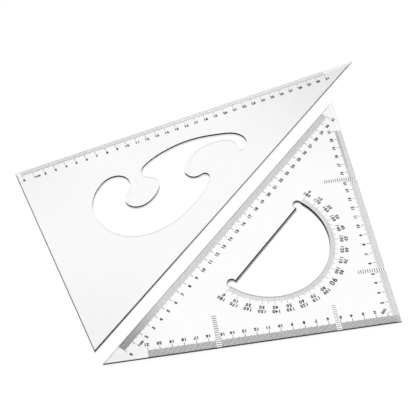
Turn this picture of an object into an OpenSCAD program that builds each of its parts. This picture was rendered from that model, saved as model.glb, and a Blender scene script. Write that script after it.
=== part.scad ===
// A pair of clear drafting set squares, lying hypotenuse to hypotenuse.
// The 45 degree square has three graduated edges, a protractor cut-out and parallel gauges.
// The 30/60 degree square has one graduated edge and a French-curve cut-out.
// Millimetres. X runs along both hypotenuses, Y from the 45 to the 30/60 square, Z up.
// The origin is the middle of the pair, on the surface that it lies on.

/* [Sheet] */
// Thickness of the clear sheet
sheet_t = 2.0; // [1.6:0.1:3.2]
// Width of the bevel along a ruling edge
bevel_w = 4.2; // [2.6:0.1:4.8]
// Thickness left at a bevelled edge
bevel_edge_t = 0.9; // [0.5:0.1:1.3]

/* [45 degree square] */
// Length of each of the two equal legs
leg_45 = 247; // [230:1:300]

/* [30/60 degree square] */
// Length of the short leg, half of the hypotenuse
short_leg = 201.5; // [190:0.5:260]

/* [Pair] */
// Gap between the two hypotenuses
pair_gap = 12.5; // [4:0.5:40]
// How far the 60 degree corner stands along X from the nearest 45 degree corner
pair_shift = 5; // [0:0.5:40]

/* [Protractor] */
// Radius of the half-round cut-out
protractor_r = 54.5; // [48:0.5:58]
// Distance of its straight side from the hypotenuse
protractor_inset = 41; // [34:0.1:46]
// Radius of the round relief at each end of the straight side
relief_r = 4.1; // [3:0.1:6]
// How far the middle of a relief stands beyond the straight side
relief_rise = 1.6; // [0:0.1:2]
// How far a relief reaches past the end of the half round, on the straight side
relief_over = 0.5; // [0.2:0.1:1.5]
// Length of a one degree mark
degree_len = 4.8; // [3:0.1:5.5]
// Length of a five degree mark
five_degree_len = 6.6; // [5.6:0.1:7.4]
// Length of a ten degree mark
ten_degree_len = 8.2; // [7.5:0.1:9]
// Length of the marks at the two ends of the straight side
end_degree_len = 9.6; // [9.1:0.1:11]
// Length of the mark at the protractor's centre
centre_mark_len = 2; // [1:0.1:4]

/* [French curve] */
// Distance of the cut-out from the 60 degree corner, along the hypotenuse
curve_x = 100.8; // [92:0.1:106]
// Distance of the cut-out from the hypotenuse
curve_y = 23; // [16:0.1:25]

/* [Printed marks] */
// Width of a printed line
line_w = 0.3; // [0.12:0.01:0.35]
// Height of the ink above the sheet
ink_h = 0.08; // [0.04:0.01:0.2]
// Bare margin between an edge and the marks that start there
ink_inset = 0.15; // [0.05:0.05:0.5]

/* [45 degree scales] */
// Length of a millimetre mark
mm_len = 6.5; // [5:0.1:7]
// Length of a five millimetre mark
five_len = 7.4; // [6.8:0.1:8.3]
// Length of a centimetre mark
cm_len = 9.4; // [8.4:0.1:9.6]
// Least bare length at each end of the hypotenuse scale
hypotenuse_bare = 16; // [8:0.5:18]
// Least bare length at the outer end of each leg scale
leg_bare = 28; // [26:0.5:40]

/* [Parallel gauges] */
// Distance of the near gauge from the right angle
gauge_at = 52.5; // [42.5:10:62.5]
// Distance from the near gauge to the far gauge
gauge_step = 100; // [80:10:120]
// Lines in the near gauge
near_gauge_lines = 12; // [6:1:14]
// Lines in the far gauge
far_gauge_lines = 15; // [6:1:18]
// Distance from the edge to the first line
gauge_first = 1.5; // [1:0.1:2]
// Distance from one line to the next
gauge_pitch = 2; // [1:0.5:2.5]
// Length of each line
gauge_line_len = 3.2; // [2:0.1:3.8]

/* [30/60 degree scale] */
// Length of a millimetre mark
long_mm_len = 5.8; // [4.5:0.1:6.2]
// Length of a five millimetre mark
long_five_len = 6.5; // [6:0.1:7.3]
// Length of a centimetre mark
long_cm_len = 8.4; // [7.4:0.1:9.4]
// Distance of the zero mark from the right angle
long_zero = 4.5; // [1:0.1:12]
// Least bare length at the outer end of the scale
long_bare = 26; // [20:0.5:40]

/* [Hidden] */

$fn = 96;
cut_over = 1;          // how far a cut runs past the sheet
mm_per_cm = 10;
half_cm = 5;
mitre_gap = 0.3;       // marks of the two legs stop this far short of the diagonal
gauge_clear = 0.4;     // bare sheet between a gauge and the nearest millimetre mark
curve_steps = 14;      // straight pieces in each span of the French curve

// Sizes of the two triangles
hyp_45 = leg_45 * sqrt(2);
drop_45 = hyp_45 / 2;
hyp_30 = 2 * short_leg;
long_leg = short_leg * sqrt(3);
rise_30 = short_leg * sin(60);

// Corners of the 45 degree square, from its left corner
left_45 = [0, 0];
top_45 = [hyp_45, 0];
right_angle_45 = [drop_45, -drop_45];

// Corners of the 30/60 degree square, from its 60 degree corner
corner_60 = [0, 0];
corner_30 = [hyp_30, 0];
right_angle_30 = [short_leg / 2, rise_30];

// Middle of the pair, measured from the 45 degree square's left corner
pair_mid = [max(hyp_45, pair_shift + hyp_30) / 2, (pair_gap + rise_30 - drop_45) / 2];

// Whole centimetres that fit on each edge
hyp_cm = floor((hyp_45 - 2 * hypotenuse_bare) / mm_per_cm);
leg_cm = floor((leg_45 - leg_bare) / mm_per_cm);
long_cm = floor((long_leg - long_zero - long_bare) / mm_per_cm);
hyp_zero = (hyp_45 - hyp_cm * mm_per_cm) / 2;

protractor_centre = [hyp_45 / 2, -protractor_inset];
relief_x = protractor_r + relief_over - sqrt(pow(relief_r, 2) - pow(relief_rise, 2));
bevel_slope = (sheet_t - bevel_edge_t) / bevel_w;

// French curve: points on the outline and the heading there in degrees,
// from the lower left of the cut-out, with the opening on the left hand
curve_nodes = [
    [55, 67, 90], [38, 80.5, 180], [11, 70.5, 222], [0, 41, 270], [13.5, 15.5, 320],
    [63, 0, 0], [99.5, 6, 24], [102, 10.5, 95], [97.5, 14.5, 168], [90, 22.5, 90],
    [92.5, 29, 32], [113.5, 34, 0], [140, 24, -41], [147.5, 13, -90], [142.5, 4, -125],
    [147, 0, 0], [158, 11, 90], [143, 33, 136], [109, 55, 159], [75, 62.5, 180],
    [66, 55, 270], [70, 45, 263], [49, 33.5, 180], [32, 46, 90], [34.5, 52, 40],
    [43.5, 55.5, 17], [51.5, 60, 48]
];

// Height of the sheet's upper face at a distance in from an edge
function face_z(n, bevelled) =
    bevelled && n < bevel_w ? bevel_edge_t + bevel_slope * n : sheet_t;

// Length of the mark at a whole number of millimetres
function mark_len(i, mm, five, cm) = i % mm_per_cm == 0 ? cm : i % half_cm == 0 ? five : mm;

// Marks of the two legs meet along the diagonal of the right angle.
// The first centimetre marks run on to it and make a small square there.
function leg_mark_len(i) = i == mm_per_cm ? i - mitre_gap
    : min(mark_len(i, mm_len, five_len, cm_len), i - mitre_gap);

// Length of the mark at a whole number of degrees
function degree_mark(d) = d % 180 == 0 ? end_degree_len
    : d % 10 == 0 ? ten_degree_len : d % 5 == 0 ? five_degree_len : degree_len;

// A parallel gauge takes the place of the marks under it
function near_gauge(i, at) = abs(i - at) < gauge_line_len / 2 + gauge_clear;
function under_gauge(i) = near_gauge(i, gauge_at) || near_gauge(i, gauge_at + gauge_step);

function heading(a) = [cos(a), sin(a)];
function point(row) = [row[0], row[1]];
function turn_between(a, b) = abs((b - a + 540) % 360 - 180);

// Handle that makes a cubic span follow a round arc between two headings
function handle(a, b) =
    norm(point(b) - point(a)) / (3 * pow(cos(turn_between(a[2], b[2]) / 4), 2));
function cubic(p, q, r, s, t) =
    pow(1 - t, 3) * p + 3 * t * pow(1 - t, 2) * q + 3 * t * t * (1 - t) * r + pow(t, 3) * s;
function span_point(a, b, t) =
    cubic(point(a), point(a) + handle(a, b) * heading(a[2]),
        point(b) - handle(a, b) * heading(b[2]), point(b), t);
function smooth_outline(rows) = [
    for (i = [0:len(rows) - 1], k = [0:curve_steps - 1])
        span_point(rows[i], rows[(i + 1) % len(rows)], k / curve_steps)
];

// Places of the two squares in the pair
module in_square_45() {
    translate([-pair_mid[0], -pair_mid[1], 0]) children();
}
module in_square_30() {
    translate([pair_shift - pair_mid[0], pair_gap - pair_mid[1], 0]) children();
}

// Edge frames: X runs along the edge from its zero end, Y runs into the sheet
module along_hypotenuse_45() {
    in_square_45() translate([hyp_zero, 0, 0]) mirror([0, 1, 0]) children();
}
module along_bevelled_leg_45() {
    in_square_45() translate(right_angle_45) rotate([0, 0, 45]) children();
}
module along_plain_leg_45() {
    in_square_45() translate(right_angle_45) rotate([0, 0, 135]) mirror([0, 1, 0]) children();
}
module along_long_leg_30() {
    in_square_30() translate(right_angle_30) rotate([0, 0, -30]) mirror([0, 1, 0]) children();
}

// Wedge of sheet that is cut away to bevel an edge of the given length
module bevel_cut(edge_len) {
    past = cut_over / bevel_slope;
    translate([-cut_over, 0, 0]) rotate([90, 0, 90]) linear_extrude(edge_len + 2 * cut_over)
        polygon([[-past, bevel_edge_t - cut_over], [bevel_w + past, sheet_t + cut_over],
            [-past, sheet_t + cut_over]]);
}

// Ink on the sheet from s0 to s1 along an edge and from n0 to n1 in from it
module ink_patch(s0, s1, n0, n1, bevelled) {
    over_crease = bevelled && n0 < bevel_w && n1 > bevel_w;
    under = concat([[n0, face_z(n0, bevelled)]], over_crease ? [[bevel_w, sheet_t]] : [],
        [[n1, face_z(n1, bevelled)]]);
    upper = [for (i = [len(under) - 1:-1:0]) under[i] + [0, ink_h]];
    translate([s0, 0, 0]) rotate([90, 0, 90]) linear_extrude(s1 - s0) polygon(concat(under, upper));
}

// One mark across an edge at s, and one line along it at n
module edge_mark(s, mark_length, bevelled = false) {
    ink_patch(s - line_w / 2, s + line_w / 2, ink_inset, mark_length, bevelled);
}
module edge_line(n, s0, s1, bevelled = false) {
    ink_patch(s0, s1, n - line_w / 2, n + line_w / 2, bevelled);
}

// Column of short lines parallel to an edge
module gauge(at, lines, bevelled) {
    for (k = [0:lines - 1])
        edge_line(gauge_first + k * gauge_pitch, at - gauge_line_len / 2, at + gauge_line_len / 2, bevelled);
}
module gauge_pair(at, lines) {
    along_plain_leg_45() gauge(at, lines, false);
    along_bevelled_leg_45() gauge(at, lines, true);
}

// Half-round opening with a round relief at each end of its straight side
module protractor_opening() {
    intersection() {
        circle(protractor_r);
        translate([-protractor_r, -protractor_r]) square([2 * protractor_r, protractor_r]);
    }
    for (side = [-1, 1]) translate([side * relief_x, relief_rise]) circle(relief_r);
}

module square_45_plate() {
    color([0.93, 0.95, 0.96, 0.45]) difference() {
        in_square_45() linear_extrude(sheet_t) polygon([left_45, right_angle_45, top_45]);
        in_square_45() translate([protractor_centre[0], protractor_centre[1], -cut_over])
            linear_extrude(sheet_t + 2 * cut_over) protractor_opening();
        along_bevelled_leg_45() bevel_cut(leg_45);
    }
}

module square_45_hypotenuse_scale() {
    color("black") along_hypotenuse_45() for (i = [0:hyp_cm * mm_per_cm])
        edge_mark(i, mark_len(i, mm_len, five_len, cm_len));
}

// Near the right angle these marks lie on the other leg's bevel, so they follow its slope
module square_45_plain_leg_scale() {
    color("black") for (i = [1:leg_cm * mm_per_cm]) if (!under_gauge(i)) {
        if (i - line_w / 2 < bevel_w)
            along_bevelled_leg_45() edge_line(i, ink_inset, leg_mark_len(i), true);
        else
            along_plain_leg_45() edge_mark(i, leg_mark_len(i));
    }
}

module square_45_bevelled_leg_scale() {
    color("black") along_bevelled_leg_45() for (i = [1:leg_cm * mm_per_cm]) if (!under_gauge(i))
        edge_mark(i, leg_mark_len(i), true);
}

module square_45_protractor_scale() {
    color("black") in_square_45() translate([protractor_centre[0], protractor_centre[1], sheet_t]) {
        for (d = [0:180]) rotate([0, 0, 180 + d])
            translate([protractor_r + ink_inset, -line_w / 2, 0])
                cube([degree_mark(d) - ink_inset, line_w, ink_h]);
        translate([-line_w / 2, ink_inset, 0]) cube([line_w, centre_mark_len, ink_h]);
    }
}

module square_45_near_gauges() {
    color("black") gauge_pair(gauge_at, near_gauge_lines);
}

module square_45_far_gauges() {
    color("black") gauge_pair(gauge_at + gauge_step, far_gauge_lines);
}

module square_30_60_plate() {
    color([0.91, 0.93, 0.94, 0.45]) difference() {
        in_square_30() linear_extrude(sheet_t) polygon([corner_60, corner_30, right_angle_30]);
        in_square_30() translate([curve_x, curve_y, -cut_over])
            linear_extrude(sheet_t + 2 * cut_over) polygon(smooth_outline(curve_nodes));
        along_long_leg_30() bevel_cut(long_leg);
    }
}

module square_30_60_long_leg_scale() {
    color("black") along_long_leg_30() for (i = [0:long_cm * mm_per_cm])
        edge_mark(long_zero + i, mark_len(i, long_mm_len, long_five_len, long_cm_len), true);
}

square_45_plate();
square_45_hypotenuse_scale();
square_45_plain_leg_scale();
square_45_bevelled_leg_scale();
square_45_protractor_scale();
square_45_near_gauges();
square_45_far_gauges();
square_30_60_plate();
square_30_60_long_leg_scale();
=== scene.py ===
# %% [markdown]
# # A pair of clear drafting squares
#
# The object is two loose sheets of clear plastic, each cut to a right-angled triangle and printed in
# black. One is the 45 degree square with a protractor, the other the 30/60 degree square with a French
# curve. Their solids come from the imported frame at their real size, so this lesson doesn't model a
# sheet again. It gives the sheets and the printed marks their finish, prints the numerals, and sets
# up a plain studio round them.

import math
from collections import namedtuple

import bmesh
import bpy
from mathutils import Matrix, Vector


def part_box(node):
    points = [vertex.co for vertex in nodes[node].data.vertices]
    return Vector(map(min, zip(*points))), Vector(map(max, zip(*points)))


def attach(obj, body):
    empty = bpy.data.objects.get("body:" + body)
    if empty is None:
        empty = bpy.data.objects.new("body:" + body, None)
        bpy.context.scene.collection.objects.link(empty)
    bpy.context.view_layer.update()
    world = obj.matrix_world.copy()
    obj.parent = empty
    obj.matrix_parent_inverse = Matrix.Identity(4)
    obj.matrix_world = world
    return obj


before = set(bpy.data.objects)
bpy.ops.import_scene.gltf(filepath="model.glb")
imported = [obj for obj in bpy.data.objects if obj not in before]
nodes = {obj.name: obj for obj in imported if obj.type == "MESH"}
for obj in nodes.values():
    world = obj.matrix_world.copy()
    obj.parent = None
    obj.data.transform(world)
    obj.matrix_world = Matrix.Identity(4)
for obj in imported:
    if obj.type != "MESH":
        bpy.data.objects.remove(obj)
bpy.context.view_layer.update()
scene = bpy.context.scene
MM = 0.001
print("nodes:", ", ".join(sorted(nodes)))

# %% [markdown]
# ## Where the edges are
#
# Every scale is printed along one straight edge, so everything that follows needs three facts about an
# edge: the corner that it starts from, the way along it and the way into the sheet. They could be typed
# in as numbers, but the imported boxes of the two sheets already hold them. The 45 degree square has its
# long side along the top of its box and its right angle below the middle of it. The 30/60 degree square
# has its long side along the bottom, and its right angle a quarter of the way along.

# %% Corners and edges of the two sheets
class Edge:
    """A straight edge of a sheet, from its zero corner towards another, with the sheet on one side."""

    def __init__(self, start, end, third_corner):
        self.start = start
        self.length = (end - start).length
        self.along = (end - start).normalized()
        self.inward = Vector((-self.along.y, self.along.x))
        if self.inward.dot(third_corner - start) < 0:
            self.inward.negate()

    def point(self, along, inward):
        return self.start + self.along * along + self.inward * inward


low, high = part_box("square_45_plate")
left_45 = Vector((low.x, high.y))
top_45 = Vector((high.x, high.y))
right_angle_45 = Vector(((low.x + high.x) / 2, low.y))
sheet_top = high.z

low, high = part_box("square_30_60_plate")
corner_60 = Vector((low.x, low.y))
corner_30 = Vector((high.x, low.y))
right_angle_30 = Vector((low.x + (high.x - low.x) / 4, high.y))

hypotenuse_45 = Edge(left_45, top_45, right_angle_45)
plain_leg_45 = Edge(right_angle_45, left_45, top_45)
bevelled_leg_45 = Edge(right_angle_45, top_45, left_45)
long_leg_30 = Edge(right_angle_30, corner_30, corner_60)
hypotenuse_30 = Edge(corner_60, corner_30, right_angle_30)
short_leg_30 = Edge(corner_60, right_angle_30, corner_30)
print("legs of the 45 degree square in mm:", round(plain_leg_45.length / MM, 2))
print("short leg of the 30/60 degree square in mm:", round(short_leg_30.length / MM, 2))

# %% [markdown]
# ## The camera
#
# The picture is taken from above and to the left, with a long lens. The view is kept as angles and a
# distance, because that is how a photographer would set up a tripod. The camera's own axes are then
# worked out from them: backwards from the object, right, and up, with a slight roll.

# %% Camera at the photograph's viewpoint
VIEW_AZIMUTH = math.radians(-55.208)
VIEW_ELEVATION = math.radians(53.063)
VIEW_ROLL = math.radians(0.832)
VIEW_DISTANCE = 954.1 * MM
VIEW_TARGET = Vector((-26.893, 17.084, 0)) * MM
IMAGE_PX = 416
FOCAL_PX = 1074.0

level = math.cos(VIEW_ELEVATION)
back = Vector((math.sin(VIEW_AZIMUTH) * level, -math.cos(VIEW_AZIMUTH) * level, math.sin(VIEW_ELEVATION)))
right = Vector((0, 0, 1)).cross(back).normalized()
up = back.cross(right)
rolled_right = right * math.cos(VIEW_ROLL) + up * math.sin(VIEW_ROLL)
rolled_up = up * math.cos(VIEW_ROLL) - right * math.sin(VIEW_ROLL)

lens = bpy.data.cameras.new("camera")
lens.lens = lens.sensor_width * FOCAL_PX / IMAGE_PX
camera = bpy.data.objects.new("camera", lens)
turn = Matrix((rolled_right, rolled_up, back)).transposed().to_4x4()
camera.matrix_world = Matrix.Translation(VIEW_TARGET + back * VIEW_DISTANCE) @ turn
scene.collection.objects.link(camera)
scene.camera = camera
print("lens in mm:", round(lens.lens, 1))

# %% [markdown]
# ## Shader maths as plain expressions
#
# A finish is a small sum: how far a point is from a crease, how much of a wall shows. Written as nodes,
# each plus and minus is a box to place and wire by hand. This class holds one output socket and turns
# Python's own operators into Math nodes, so that the sum can be read as a sum. Every other kind of node
# is added by its one method, node.

# %% A socket that can be added, subtracted and multiplied
class Wire:
    """One output socket in a tree of nodes."""

    def __init__(self, tree, socket=None):
        self.tree = tree
        self.socket = socket

    def node(self, kind, settings=None, sockets=None, out=0):
        """Adds a node: first its settings, then the values or links of its sockets."""
        made = self.tree.nodes.new("ShaderNode" + kind)
        for name, value in (settings or {}).items():
            setattr(made, name, value)
        for key, value in (sockets or {}).items():
            if isinstance(value, Wire):
                self.tree.links.new(value.socket, made.inputs[key])
            else:
                made.inputs[key].default_value = value
        return Wire(self.tree, made.outputs[out] if made.outputs else None)

    def math(self, operation, *values):
        return self.node("Math", {"operation": operation}, dict(enumerate(values)))

    def __add__(self, other):
        return self.math("ADD", self, other)

    def __radd__(self, other):
        return self.math("ADD", other, self)

    def __sub__(self, other):
        return self.math("SUBTRACT", self, other)

    def __rsub__(self, other):
        return self.math("SUBTRACT", other, self)

    def __mul__(self, other):
        return self.math("MULTIPLY", self, other)

    def __rmul__(self, other):
        return self.math("MULTIPLY", other, self)

    def __abs__(self):
        return self.math("ABSOLUTE", self)

    def __gt__(self, other):
        return self.math("GREATER_THAN", self, other)

    def __lt__(self, other):
        return self.math("LESS_THAN", self, other)

    def least(self, other):
        return self.math("MINIMUM", self, other)

    def most(self, other):
        return self.math("MAXIMUM", self, other)

    def fade(self, start, end):
        """1 at start, falling smoothly to 0 at end."""
        settings = {"interpolation_type": "SMOOTHSTEP"}
        return self.node("MapRange", settings, {0: self, 1: start, 2: end, 3: 1.0, 4: 0.0})

    def dot(self, vector):
        return self.node("VectorMath", {"operation": "DOT_PRODUCT"}, {0: self, 1: vector}, out="Value")

    def distance(self, point):
        return self.node("VectorMath", {"operation": "DISTANCE"}, {0: self, 1: point}, out="Value")

    def colours(self, first, second):
        """A colour between two others, with this value as the share of the second."""
        return self.node("Mix", {"data_type": "RGBA"}, {0: self, 6: first, 7: second}, out=2)

    def shaders(self, first, second):
        """A mix of two shaders, with this value as the share of the second."""
        return self.node("MixShader", {}, {0: self, 1: first, 2: second})


def new_finish(name):
    """A material with no nodes yet, and a wire to start from."""
    material = bpy.data.materials.new(name)
    material.use_nodes = True
    material.node_tree.nodes.clear()
    return material, Wire(material.node_tree)


def dress(piece, material):
    piece.data.materials.clear()
    piece.data.materials.append(material)


print("shader wires ready")

# %% [markdown]
# ## Floor and light
#
# The pair lies on plain white paper that runs to the edge of the picture and takes the shadow of the cut
# edges. The light is a faint sky and one softbox, behind the object and so far away that it lights the
# whole sheet of paper alike. Blender's sun lamp is that softbox: its angle says how large the box looks
# from here. Its own mirror image would lie as a white patch on the clear sheets, so it is kept out of
# reflections.

# %% White paper
FLOOR_HALF = 3.0
FLOOR_DROP = 0.05 * MM
PAPER = (0.98, 0.98, 0.98, 1)

paper, wire = new_finish("white_paper")
matt = wire.node("BsdfDiffuse", {}, {"Color": PAPER})
wire.node("OutputMaterial", {}, {"Surface": matt})

bm = bmesh.new()
bmesh.ops.create_grid(bm, x_segments=1, y_segments=1, size=FLOOR_HALF)
bmesh.ops.translate(bm, verts=bm.verts, vec=(0, 0, -FLOOR_DROP))
mesh = bpy.data.meshes.new("floor")
bm.to_mesh(mesh)
bm.free()
floor = bpy.data.objects.new("floor", mesh)
scene.collection.objects.link(floor)
dress(floor, paper)
print("floor side in m:", 2 * FLOOR_HALF)

# %% Sky and lamp
WHITE = (1, 1, 1, 1)
SKY = 0.035
LAMP_STRENGTH = 4.1
LAMP_ANGLE = math.radians(9)
LAMP_FROM = Vector((0.4, 0.5, 0.78))

world = bpy.data.worlds.new("studio")
world.use_nodes = True
world.node_tree.nodes.clear()
wire = Wire(world.node_tree)
seen = wire.node("LightPath", out="Is Camera Ray")
mirrored = wire.node("LightPath", out="Is Glossy Ray")
through = wire.node("LightPath", out="Is Transmission Ray")
lit = wire.node("Background", {}, {"Color": WHITE, "Strength": SKY})
white = wire.node("Background", {}, {"Color": WHITE, "Strength": 1.0})
wire.node("OutputWorld", {}, {"Surface": seen.most(mirrored).most(through).shaders(lit, white)})
scene.world = world

lamp = bpy.data.lights.new("softbox", "SUN")
lamp.energy = LAMP_STRENGTH
lamp.angle = LAMP_ANGLE
softbox = bpy.data.objects.new("softbox", lamp)
softbox.matrix_world = LAMP_FROM.to_track_quat("Z", "Y").to_matrix().to_4x4()
softbox.visible_glossy = False
scene.collection.objects.link(softbox)
scene.view_settings.view_transform = "Standard"
print("lamp height in degrees:", round(math.degrees(math.asin(LAMP_FROM.normalized().z))))

# %% [markdown]
# ## Painted marks that a clear sheet shows
#
# A printed clear sheet shows more than its ink. Its underside mirrors the marks above it, so that a line
# looks wider than it is printed, and lines that stand close together look like a grey band. The arris
# along a cut edge, where a face and a wall meet, shows as a thin dark line where the edge bends light
# away. Real glass could be traced instead, but that takes dozens of bounces of light, and the paper
# below would lie in the dark. So these mirror images and this shade are painted: each mark is a small rule
# of place, a box beside a straight edge, or a ring round the half-round cut-out. It says how much painted
# dark the sheet shows at a point, wherever the camera stands.

# %% Painted marks beside a straight edge and round the cut-out
LINE_ECHO = 0.3 * MM


def along_edge(place, edge):
    """How far along an edge a point of the sheet lies."""
    return place.dot((*edge.along, 0)) - edge.along.dot(edge.start)


def into_sheet(place, edge):
    """How far in from an edge a point of the sheet lies."""
    return place.dot((*edge.inward, 0)) - edge.inward.dot(edge.start)


class EdgeMark:
    """A mark of painted reflection and shade in a box beside an edge: one band, which may fade out along the
    edge, or the lines of a comb.

    A comb is given as the way that its lines are counted, along or depth, its first line and its pitch. A
    mitred band is cut at 45 degrees at its start, where the band of the next edge meets it.
    """

    def __init__(self, edge, along, depth, dark, fades=False, comb=None, mitred=False):
        self.edge = edge
        self.along = along
        self.depth = depth
        self.dark = dark
        self.fades = fades
        self.comb = comb
        self.mitred = mitred

    def share(self, place):
        spot = {"along": along_edge(place, self.edge), "depth": into_sheet(place, self.edge)}
        inside = (spot["along"] > self.along[0]) * (spot["along"] < self.along[1])
        inside = inside * (spot["depth"] > self.depth[0]) * (spot["depth"] < self.depth[1])
        if self.fades:
            inside = inside * spot["along"].fade(*self.along)
        if self.comb:
            way, first, pitch = self.comb
            to_line = place.math("PINGPONG", spot[way] - first, pitch / 2)
            inside = inside * (to_line < LINE_ECHO)
        if self.mitred:
            inside = inside * (spot["along"] > spot["depth"])
        return inside * self.dark


class RoundArris:
    """Painted shade along the arris of the half-round cut-out, a line that is faint at first and dark
    towards +X.
    """

    def __init__(self, centre, radius, width, faint, dark, darkens):
        self.centre = centre
        self.reach = radius + width
        self.faint = faint
        self.dark = dark
        self.darkens = darkens

    def share(self, place):
        near = place.distance((*self.centre, sheet_top)) < self.reach
        line = near * (place.dot((0, 1, 0)) < self.centre.y)
        from_centre = place.dot((1, 0, 0)) - self.centre.x
        return line * (self.dark - (self.dark - self.faint) * from_centre.fade(*self.darkens))


print("width of a mirrored line in mm:", 2 * LINE_ECHO / MM)

# %% [markdown]
# ## A point on a sheet
#
# A flat face, a bevel and a cut wall of one sheet look different, and so do a wall seen from outside and
# the same wall seen through the sheet. Each could have a finish of its own, but then every face would have
# to be sorted first. One finish for the whole sheet can tell them apart by itself: from the way a face
# points, the side that it is seen from and the distance from the outer edges. Smudges are a soft noise.

# %% What the finish knows about a point
WALL_BELOW = 0.5
FLAT_ABOVE = 0.99
SMUDGES_PER_M = 9.0


class SheetPoint:
    """A point of a sheet. The first of the sheet's three outer edges is the bevelled one."""

    def __init__(self, wire, edges):
        facing_up = abs(wire.node("NewGeometry", out="True Normal").dot((0, 0, 1)))
        self.wall = facing_up < WALL_BELOW
        self.flat = facing_up > FLAT_ABOVE
        self.from_inside = wire.node("NewGeometry", out="Backfacing")
        self.to_lamp = wire.node("LightPath", out="Is Shadow Ray")
        self.place = wire.node("TexCoord", out="Object")
        from_bevelled, from_second, from_third = [into_sheet(self.place, edge) for edge in edges]
        self.from_bevelled = from_bevelled
        self.from_upright = from_second.least(from_third)
        soft_noise = {"Vector": self.place, "Scale": SMUDGES_PER_M, "Detail": 3.0}
        self.smudges = wire.node("TexNoise", {}, soft_noise)


print("a wall is steeper than", round(math.degrees(math.acos(WALL_BELOW))), "degrees")

# %% [markdown]
# ## Film and painted shade
#
# The sheets are clear acrylic. Light goes straight through the two wide faces, so they show as little more
# than a faint grey film. Towards some corners they look darker, and a soft dark line runs where the bevel
# starts; that is painted shade, in the same grey. Dust and scratches could be drawn one by one, but from
# this distance they only add up to a tone. So the film is a share of grey: an even amount with smudges in
# it, painted shade added near each darker corner, and a thin line of painted shade along the crease.

# %% How much film and painted shade show at a point
CREASE_AT = 4.2 * MM
CREASE_HALF = 0.35 * MM
CREASE_SHADE = 0.12
FILM_LEAST = 0.7
FILM_SPREAD = 0.6

# A corner that painted shade darkens: the corner, how much, and how far the shade reaches.
CornerShade = namedtuple("CornerShade", "corner amount reach")


def film_share(point, film, corner_shades):
    film_and_shade = film * (FILM_LEAST + FILM_SPREAD * point.smudges)
    for spot in corner_shades:
        # painted shade, darker towards each corner
        film_and_shade = film_and_shade + spot.amount * point.place.distance((*spot.corner, 0)).fade(0.0, spot.reach)
    # painted shade: a thin dark line along the crease where the bevel starts
    crease_shade = abs(point.from_bevelled - CREASE_AT).fade(0.0, CREASE_HALF)
    return (point.flat * film_and_shade + CREASE_SHADE * crease_shade) * (1 - point.wall) * (1 - point.to_lamp)


print("width of the crease in mm:", 2 * CREASE_HALF / MM)

# %% [markdown]
# ## Dark walls and painted shade
#
# Light that enters a cut wall is caught between the faces and never comes out towards the eye, so a wall
# looks nearly black from outside, and faint from inside. That black is painted shade, a dark colour on a
# wall that is clear. A sawn wall of a cut-out also keeps some of the lamp's light from the paper at its
# foot, where the polished outer walls let it pass; that shadow is cast by the lamp itself. A glass shader
# knows nothing of sawn and polished, so the share of dark is written down for both. On the faces, the
# painted shade of the marks and of the arrises of the two upright outer walls is added up instead.

# %% How much painted dark a point shows
RIM = 0.3 * MM
ARRIS_SHADE = 0.6
POLISH_LEAK = 0.05


def dark_share(point, marks, foot_shade, inside_wall):
    # On the faces: a painted shade line along the upright outer arrises, and the painted marks.
    dark_marks = ARRIS_SHADE * (point.from_upright < RIM) * point.flat
    for mark in marks:
        dark_marks = dark_marks + mark.share(point.place)
    dark_face = dark_marks * (1 - point.from_inside) * (1 - point.to_lamp)

    # On the walls: painted black, nearly full from outside and faint from inside; the shadow at a wall's
    # foot is cast by the lamp.
    polished = point.from_bevelled.least(point.from_upright) < RIM
    outside_wall = 1 - POLISH_LEAK * polished
    seen_wall = outside_wall - (outside_wall - inside_wall) * point.from_inside
    shading_wall = foot_shade * (1 - point.from_inside) * (1 - polished)
    dark_wall = seen_wall * (1 - point.to_lamp) + shading_wall * point.to_lamp
    return dark_face * (1 - point.wall) + dark_wall * point.wall


print("width of an outer arris in mm:", RIM / MM)

# %% [markdown]
# ## Clear sheet
#
# The finish has three layers: the clear face with its soft reflection, then the film with its painted
# shade, then everything dark, which is painted shade and reflection, with fine upright streaks from the
# saw. They could be three thin solids, one on the other, but on the real sheet they are one and the same
# surface. So they are mixed in one finish, each by its share.

# %% Layers of a clear sheet
SHEET_IOR = 1.49
SHEET_TINT = (0.99, 0.99, 0.99, 1)
FILM_AND_SHADE_GREY = (0.2, 0.205, 0.21, 1)
WALL_DARK = (0.004, 0.004, 0.005, 1)
WALL_PALE = (0.012, 0.0125, 0.013, 1)
STREAKS_PER_M = (900.0, 900.0, 60.0)
POLISH_ROUGH = 0.03
SMUDGE_ROUGH = 0.05
FILM_ROUGH = 0.3
CUT_ROUGH = 0.3
CUT_GLINT = 0.04


def clear_sheet(name, edges, marks, corner_shades, film, foot_shade, inside_wall):
    material, wire = new_finish(name)
    point = SheetPoint(wire, edges)
    clear = wire.node("BsdfTransparent", {}, {"Color": SHEET_TINT})
    polish = wire.node("BsdfGlossy", {}, {"Roughness": POLISH_ROUGH + SMUDGE_ROUGH * point.smudges})
    mirror = wire.node("Fresnel", {}, {"IOR": SHEET_IOR}) * (1 - point.from_inside)
    face = mirror.shaders(clear, polish)

    grey = {"Base Color": FILM_AND_SHADE_GREY, "Roughness": FILM_ROUGH, "IOR": SHEET_IOR}
    filmed_and_shaded = film_share(point, film, corner_shades).shaders(face, wire.node("BsdfPrincipled", {}, grey))

    # The dark layer is painted shade and reflection: black walls, arris lines and mirrored marks.
    streak_way = wire.node("Mapping", {}, {"Vector": point.place, "Scale": STREAKS_PER_M})
    streaks = wire.node("TexNoise", {}, {"Vector": streak_way, "Scale": 1.0, "Detail": 2.0})
    black = {"Base Color": streaks.colours(WALL_DARK, WALL_PALE), "Roughness": CUT_ROUGH}
    painted_dark = wire.node("BsdfPrincipled", {}, {**black, "Specular IOR Level": CUT_GLINT})
    dark = dark_share(point, marks, foot_shade, inside_wall)
    wire.node("OutputMaterial", {}, {"Surface": dark.shaders(filmed_and_shaded, painted_dark)})
    return material


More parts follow.
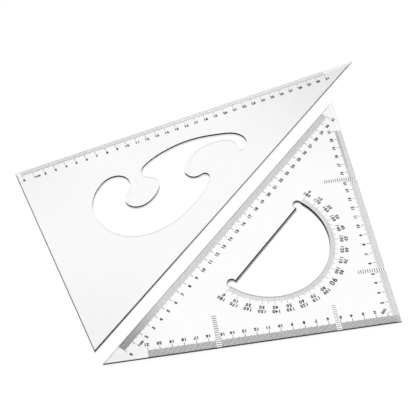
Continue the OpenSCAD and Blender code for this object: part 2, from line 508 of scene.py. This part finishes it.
print("share that a clear face mirrors, seen head on:", round(((SHEET_IOR - 1) / (SHEET_IOR + 1)) ** 2, 3))

# %% [markdown]
# ## What each sheet shows
#
# The painted marks in a sheet follow its print, as its mirror images and shade: bands over the
# millimetres, the tips of the centimetres, the lines of the gauges. Where a scale starts and stops could be
# written down twice, but the printed solids already say it, so it is measured on them. After the print
# come the painted shade lines along the arrises of the sheet itself. How dark each mark is was found by
# trial, by comparing renders with the photograph.

# %% Painted marks that follow a scale or a gauge
CM = 10 * MM
CM_DARK = 0.48
GAUGE_FIRST = 1.5 * MM
GAUGE_PITCH = 2 * MM
GAUGE_HALF = 1.9 * MM


def scale_ends(scale_node, edge):
    """How far along an edge the first and the last printed mark of its scale are."""
    places = [edge.along.dot(vertex.co.to_2d() - edge.start) for vertex in nodes[scale_node].data.vertices]
    return min(places), max(places)


def cm_tips(scale_node, edge, zero, depth):
    """Painted mirror images of the tips of the centimetre marks, which stand out of the band of millimetres.
    """
    return EdgeMark(edge, scale_ends(scale_node, edge), depth, CM_DARK, comb=("along", zero, CM))


def gauge(edge, at, lines, dark):
    """Painted mirror images of the lines of one gauge, which lie along the edge, one behind the other."""
    stretch = (at - GAUGE_HALF, at + GAUGE_HALF)
    depth = (0, GAUGE_FIRST + (lines - 0.5) * GAUGE_PITCH)
    return EdgeMark(edge, stretch, depth, dark, comb=("depth", GAUGE_FIRST, GAUGE_PITCH))


hypotenuse_start, hypotenuse_end = scale_ends("square_45_hypotenuse_scale", hypotenuse_45)
plain_start, plain_end = scale_ends("square_45_plain_leg_scale", plain_leg_45)
long_start, long_end = scale_ends("square_30_60_long_leg_scale", long_leg_30)
print("hypotenuse scale in mm, from and to:", round(hypotenuse_start / MM, 1), round(hypotenuse_end / MM, 1))
print("long-leg scale in mm, from and to:", round(long_start / MM, 1), round(long_end / MM, 1))

# %% Painted reflection and shade of the print in the 45 degree square
BAND = (0, 6.5 * MM)
INNER_BAND = (4.2 * MM, 6.5 * MM)
CM_TIPS = (6.5 * MM, 9.4 * MM)
HYPOTENUSE_FADE = 60 * MM
BEVELLED_FADE = 90 * MM
NEAR_GAUGE = 52.5 * MM
FAR_GAUGE = 152.5 * MM
NEAR_LINES = 12
FAR_LINES = 15
BARE_HALF = 2.2 * MM

first_band = (hypotenuse_start, hypotenuse_start + HYPOTENUSE_FADE)
plain_bands = [
    (plain_start, NEAR_GAUGE - BARE_HALF),
    (NEAR_GAUGE + BARE_HALF, FAR_GAUGE - BARE_HALF),
    (FAR_GAUGE + BARE_HALF, plain_end),
]
bevelled_back = Edge(top_45, right_angle_45, left_45)
back_start = scale_ends("square_45_bevelled_leg_scale", bevelled_back)[0]
back_band = (back_start, back_start + BEVELLED_FADE)

# Painted mirror images and shade of the print: bands over the scales, the first darker towards the 0 of the
# hypotenuse, the centimetre tips and the gauge lines.
print_reflection_and_shade_45 = [
    EdgeMark(hypotenuse_45, first_band, BAND, dark=0.46, fades=True),
    EdgeMark(plain_leg_45, (0, plain_start), BAND, dark=0.48, mitred=True),
    EdgeMark(bevelled_leg_45, (0, plain_start), BAND, dark=0.3, mitred=True),
    *[EdgeMark(plain_leg_45, stretch, BAND, dark=0.3) for stretch in plain_bands],
    EdgeMark(bevelled_back, back_band, INNER_BAND, dark=0.3, fades=True),
    cm_tips("square_45_hypotenuse_scale", hypotenuse_45, hypotenuse_start, CM_TIPS),
    cm_tips("square_45_plain_leg_scale", plain_leg_45, 0, CM_TIPS),
    cm_tips("square_45_bevelled_leg_scale", bevelled_leg_45, 0, CM_TIPS),
    gauge(plain_leg_45, NEAR_GAUGE, NEAR_LINES, dark=0.4),
    gauge(plain_leg_45, FAR_GAUGE, FAR_LINES, dark=0.95),
    gauge(bevelled_leg_45, NEAR_GAUGE, NEAR_LINES, dark=0.9),
    gauge(bevelled_leg_45, FAR_GAUGE, FAR_LINES, dark=0.95),
]
print("marks of print in the 45 degree square:", len(print_reflection_and_shade_45))

# %% Painted shade along the arrises of the protractor
PROTRACTOR_INSET = 41 * MM
PROTRACTOR_RADIUS = 54.5 * MM
STRAIGHT_HALF = 47.4 * MM
CUT_ARRIS = 0.6 * MM
ROUND_DARKENS = (26 * MM, 44 * MM)

middle_45 = hypotenuse_45.length / 2
straight_side = (middle_45 - STRAIGHT_HALF, middle_45 + STRAIGHT_HALF)
straight_depth = (PROTRACTOR_INSET - CUT_ARRIS, PROTRACTOR_INSET)
protractor_centre = hypotenuse_45.point(middle_45, PROTRACTOR_INSET)
# Painted shade along the cut-out's straight side and round its arc.
arris_shade_45 = [
    EdgeMark(hypotenuse_45, straight_side, straight_depth, dark=1.0),
    RoundArris(protractor_centre, PROTRACTOR_RADIUS, CUT_ARRIS, faint=0.2, dark=1.0, darkens=ROUND_DARKENS),
]
print("centre of the protractor in mm:", [round(along / MM, 2) for along in protractor_centre])

# %% Dressing the 45 degree square
# Painted shade: the sheet looks darker towards these corners.
corner_shades_45 = [CornerShade(left_45, amount=0.1, reach=75 * MM), CornerShade(top_45, amount=0.045, reach=120 * MM)]
edges_45 = [bevelled_leg_45, plain_leg_45, hypotenuse_45]
marks_45 = print_reflection_and_shade_45 + arris_shade_45
amounts_45 = {"film": 0.004, "foot_shade": 0.65, "inside_wall": 0.3}
sheet_45 = clear_sheet("clear_sheet_45", edges_45, marks_45, corner_shades_45, **amounts_45)
dress(nodes["square_45_plate"], sheet_45)
print("marks in the 45 degree square:", len(marks_45))

# %% Dressing the 30/60 degree square
LONG_INNER_BAND = (4.2 * MM, 5.4 * MM)
LONG_CM_TIPS = (5.8 * MM, 8.4 * MM)
HYPOTENUSE_ARRIS = (0, 0.8 * MM)
HYPOTENUSE_ARRIS_FADE = 190 * MM
SHORT_LEG_ARRIS = (0, 0.6 * MM)

# Painted reflection and shade: a band over the long leg's millimetres, the tips of its centimetres, and dark
# lines along the hypotenuse (fading from the 60 degree corner) and the short leg.
marks_30_60 = [
    EdgeMark(long_leg_30, (long_start, long_end), LONG_INNER_BAND, dark=0.15),
    cm_tips("square_30_60_long_leg_scale", long_leg_30, long_start, LONG_CM_TIPS),
    EdgeMark(hypotenuse_30, (0, HYPOTENUSE_ARRIS_FADE), HYPOTENUSE_ARRIS, dark=0.9, fades=True),
    EdgeMark(short_leg_30, (0, short_leg_30.length), SHORT_LEG_ARRIS, dark=0.35),
]
# Painted shade: the sheet looks darker towards these corners.
corner_shades_30_60 = [
    CornerShade(corner_30, amount=0.13, reach=180 * MM),
    CornerShade(corner_60, amount=0.05, reach=110 * MM),
    CornerShade(right_angle_30, amount=0.04, reach=90 * MM),
]
edges_30_60 = [long_leg_30, hypotenuse_30, short_leg_30]
amounts_30_60 = {"film": 0.03, "foot_shade": 0.25, "inside_wall": 0.2}
sheet_30_60 = clear_sheet("clear_sheet_30_60", edges_30_60, marks_30_60, corner_shades_30_60, **amounts_30_60)
dress(nodes["square_30_60_plate"], sheet_30_60)
print("marks in the 30/60 degree square:", len(marks_30_60))

# %% [markdown]
# ## Printed ink
#
# The marks and numerals are screen printed in black. Ink like that is never one even tone: it is a
# little thinner here and there, and slightly glossy. Noise at the scale of a few millimetres, on the
# colour and on the roughness, is enough for that. Each scale has a cover of its own: the share of light
# that its lines stop. The differences between these covers are painted light and shade: they stand in for
# how light and the lines' shadows fall on each scale, not for less ink. On the long leg the cover thins
# out along the edge. A thin line on top of a clear sheet would throw a second line on the paper below, and
# a broad light washes that out, so the ink lets the lamp's light pass.

# %% Finish of the ink
INK_DARK = (0.004, 0.004, 0.0045, 1)
INK_PALE = (0.014, 0.014, 0.015, 1)
INK_ROUGH = 0.4
INK_ROUGH_SPREAD = 0.2
INK_GLINT = 0.08
SPECKLES_PER_M = 420.0

# Painted light and shade: each scale's cover is set for how light and its lines' shadows fall there.
COVER = {
    "square_45_hypotenuse_scale": 0.84,
    "square_45_plain_leg_scale": 0.95,
    "square_45_bevelled_leg_scale": 0.49,
    "square_45_protractor_scale": 0.66,
    "square_45_near_gauges": 1.0,
    "square_45_far_gauges": 1.0,
}
LONG_LEG_COVER = (0.57, 0.25)
LONG_LEG_THINS_OVER = 250 * MM


def black_ink(name, cover, end_cover=None, edge=None, thins_over=None):
    """Screen-printed black. Its cover can thin out along an edge, from cover to end_cover."""
    material, wire = new_finish(name)
    place = wire.node("TexCoord", out="Object")
    to_lamp = wire.node("LightPath", out="Is Shadow Ray")
    speckle = wire.node("TexNoise", {}, {"Vector": place, "Scale": SPECKLES_PER_M, "Detail": 3.0})
    black = {"Base Color": speckle.colours(INK_DARK, INK_PALE), "Specular IOR Level": INK_GLINT}
    black["Roughness"] = INK_ROUGH + INK_ROUGH_SPREAD * speckle
    solid = wire.node("BsdfPrincipled", {}, black)
    clear = wire.node("BsdfTransparent", {}, {"Color": WHITE})
    if edge:
        cover = end_cover + (cover - end_cover) * along_edge(place, edge).fade(0.0, thins_over)
    share = cover * (1 - to_lamp)
    wire.node("OutputMaterial", {}, {"Surface": share.shaders(clear, solid)})
    return material


for name, cover in COVER.items():
    dress(nodes[name], black_ink(name + "_ink", cover))
long_leg_thins = (*LONG_LEG_COVER, long_leg_30, LONG_LEG_THINS_OVER)
dress(nodes["square_30_60_long_leg_scale"], black_ink("square_30_60_long_leg_scale_ink", *long_leg_thins))
numeral_ink = black_ink("numeral_ink", 1.0)
print("printed nodes:", len(COVER) + 1)

# %% [markdown]
# ## Numerals
#
# The centimetre marks are numbered, and so is every tenth degree of the protractor, once each way. A
# number could be drawn stroke by stroke, but Blender's own text does it better. A word is made once as a
# mesh, one unit thick, and then stamped wherever it is needed: turned so that its top points the right way,
# scaled to its printed height, and pressed down to the thickness of the ink.

# %% One word as a mesh
WORD_SPACING = 1.18
SCALE_BOLD = 0.065
word_meshes = {}


def word_mesh(text, bold):
    """The word in a plain letter, one unit thick, centred on the origin with its top towards +Y."""
    if (text, bold) not in word_meshes:
        letters = bpy.data.curves.new(text, "FONT")
        letters.body = text
        letters.resolution_u = 2
        letters.offset = bold
        letters.space_character = WORD_SPACING
        letters.extrude = 0.5
        carrier = bpy.data.objects.new(text, letters)
        scene.collection.objects.link(carrier)
        bpy.context.view_layer.update()
        mesh = bpy.data.meshes.new_from_object(carrier.evaluated_get(bpy.context.evaluated_depsgraph_get()))
        bpy.data.objects.remove(carrier)
        corners = [vertex.co for vertex in mesh.vertices]
        middle = [(min(c[i] for c in corners) + max(c[i] for c in corners)) / 2 for i in range(2)]
        mesh.transform(Matrix.Translation((-middle[0], -middle[1], 0)))
        word_meshes[text, bold] = mesh
    return word_meshes[text, bold]


def half_size(text, bold):
    """Half the width and half the height of a word at size 1."""
    corners = [vertex.co for vertex in word_mesh(text, bold).vertices]
    return max(corner.x for corner in corners), max(corner.y for corner in corners)


print("half width and half height of a digit:", [round(half, 3) for half in half_size("0", SCALE_BOLD)])

# %% Stamping words on a sheet
MERGE = 0.002 * MM

ink_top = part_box("square_45_hypotenuse_scale")[1].z
ink_height = ink_top - sheet_top


def print_words(name, body, words, bold):
    """One piece of ink with all the words: each is (text, its middle, the way its top points, height)."""
    bm = bmesh.new()
    digit_height = 2 * half_size("0", bold)[1]
    for text, middle, top, height in words:
        size = height / digit_height
        reading = Vector((top.y, -top.x))
        turn = Matrix((reading.to_3d(), top.to_3d(), (0, 0, 1))).transposed().to_4x4()
        lift = Matrix.Translation((middle.x, middle.y, sheet_top + ink_height / 2))
        stamp = word_mesh(text, bold).copy()
        stamp.transform(lift @ turn @ Matrix.Diagonal((size, size, ink_height, 1)))
        bm.from_mesh(stamp)
        bpy.data.meshes.remove(stamp)
    bmesh.ops.remove_doubles(bm, verts=bm.verts, dist=MERGE)
    bmesh.ops.recalc_face_normals(bm, faces=bm.faces)
    mesh = bpy.data.meshes.new(name)
    bm.to_mesh(mesh)
    bm.free()
    piece = bpy.data.objects.new(name, mesh)
    scene.collection.objects.link(piece)
    dress(piece, numeral_ink)
    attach(piece, body)
    print(name, "words:", len(words), "faces:", len(mesh.polygons))


print("height of the ink in mm:", round(ink_height / MM, 3))

# %% [markdown]
# ## The centimetre scales
#
# The numbers stand in a row a fixed distance in from their edge. On the hypotenuse, on the plain leg and
# on the long leg their tops point out of the sheet, and on the bevelled leg they point into it. The long
# scales start at 0 and name their unit beside the 1. The two leg scales count from the right angle, have
# their first number at 2, share one name of their unit near the right angle, and move the 5 and the 15 a
# little aside for the gauges. A row could be placed word by word, but the place of a number follows from
# its mark, so a loop does it.

# %% Numbers along the long scales
UNIT_SHARE = 0.88


def long_scale(scale_node, edge, inward, past, height):
    """The words of a scale that starts at 0, each a little past the near side of its mark."""
    first, last = scale_ends(scale_node, edge)
    zero = first + past
    digit_height = 2 * half_size("0", SCALE_BOLD)[1]
    unit_aside = (half_size("1cm", SCALE_BOLD)[0] - half_size("1", SCALE_BOLD)[0]) / digit_height
    words = []
    for count in range(int((last - first) / CM) + 1):
        text = "1cm" if count == 1 else str(count)
        size = height * UNIT_SHARE if count == 1 else height
        aside = unit_aside * size if count == 1 else 0
        words.append((text, edge.point(zero + count * CM + aside, inward), -edge.inward, size))
    return words


row = {"inward": 12.8 * MM, "past": 0.45 * MM, "height": 3.25 * MM}
hypotenuse_words = long_scale("square_45_hypotenuse_scale", hypotenuse_45, **row)
print_words("hypotenuse_numerals", "square_45", hypotenuse_words, SCALE_BOLD)
row = {"inward": 11.4 * MM, "past": 0.5 * MM, "height": 3.1 * MM}
long_leg_words = long_scale("square_30_60_long_leg_scale", long_leg_30, **row)
print_words("long_leg_numerals", "square_30_60", long_leg_words, SCALE_BOLD)

# %% Numbers along the two legs of the 45 degree square
FIRST_NUMBER = 2
LEG_HEIGHT = 3.1 * MM
UNIT_HEIGHT = 3.6 * MM
UNIT_BOLD = 0.045
UNIT_FROM_RIGHT_ANGLE = Vector((-0.7, 17.1)) * MM
ASIDE = {5: 0.9 * MM, 15: 1.9 * MM}


def leg_scale(scale_node, edge, top, past, inward):
    """The words of a scale that counts from its corner, each a little past its mark, or before it."""
    last_number = int(scale_ends(scale_node, edge)[1] / CM)
    words = []
    for count in range(FIRST_NUMBER, last_number + 1):
        along = count * CM + past - ASIDE.get(count, 0)
        words.append((str(count), edge.point(along, inward), top, LEG_HEIGHT))
    return words


row = {"top": -plain_leg_45.inward, "past": 0.15 * MM, "inward": 11.6 * MM}
plain_words = leg_scale("square_45_plain_leg_scale", plain_leg_45, **row)
print_words("plain_leg_numerals", "square_45", plain_words, SCALE_BOLD)
row = {"top": bevelled_leg_45.inward, "past": -0.4 * MM, "inward": 11.9 * MM}
bevelled_words = leg_scale("square_45_bevelled_leg_scale", bevelled_leg_45, **row)
print_words("bevelled_leg_numerals", "square_45", bevelled_words, SCALE_BOLD)
leg_unit = ("cm", right_angle_45 + UNIT_FROM_RIGHT_ANGLE, Vector((0, -1)), UNIT_HEIGHT)
print_words("leg_unit", "square_45", [leg_unit], UNIT_BOLD)

# %% [markdown]
# ## The protractor's degrees
#
# Two rings of numbers run round the cut-out, one counting each way, and they share a large 90 at the
# crown. Their tops point away from the centre, so each number is turned to its own place on the ring. Text
# could be bent round a circle by a curve modifier, but that would bend the digits too.

# %% Two rings of degrees
DEGREE_HEIGHT = 3.4 * MM
DEGREE_BOLD = 0.045
INNER_RING = 65.2 * MM
OUTER_RING = 69.2 * MM
CROWN_RING = 67.3 * MM
CROWN_HEIGHT = 5.2 * MM
CROWN_BOLD = 0.03

degree_words = []
for degree in range(0, 181, 10):
    bearing = math.radians(180 + degree)
    outward = Vector((math.cos(bearing), math.sin(bearing)))
    if degree == 90:
        crown = ("90", protractor_centre + outward * CROWN_RING, outward, CROWN_HEIGHT)
        continue
    inner = protractor_centre + outward * INNER_RING
    outer = protractor_centre + outward * OUTER_RING
    degree_words.append((str(degree), inner, outward, DEGREE_HEIGHT))
    degree_words.append((str(180 - degree), outer, outward, DEGREE_HEIGHT))
print_words("protractor_numerals", "square_45", degree_words, DEGREE_BOLD)
print_words("protractor_crown", "square_45", [crown], CROWN_BOLD)
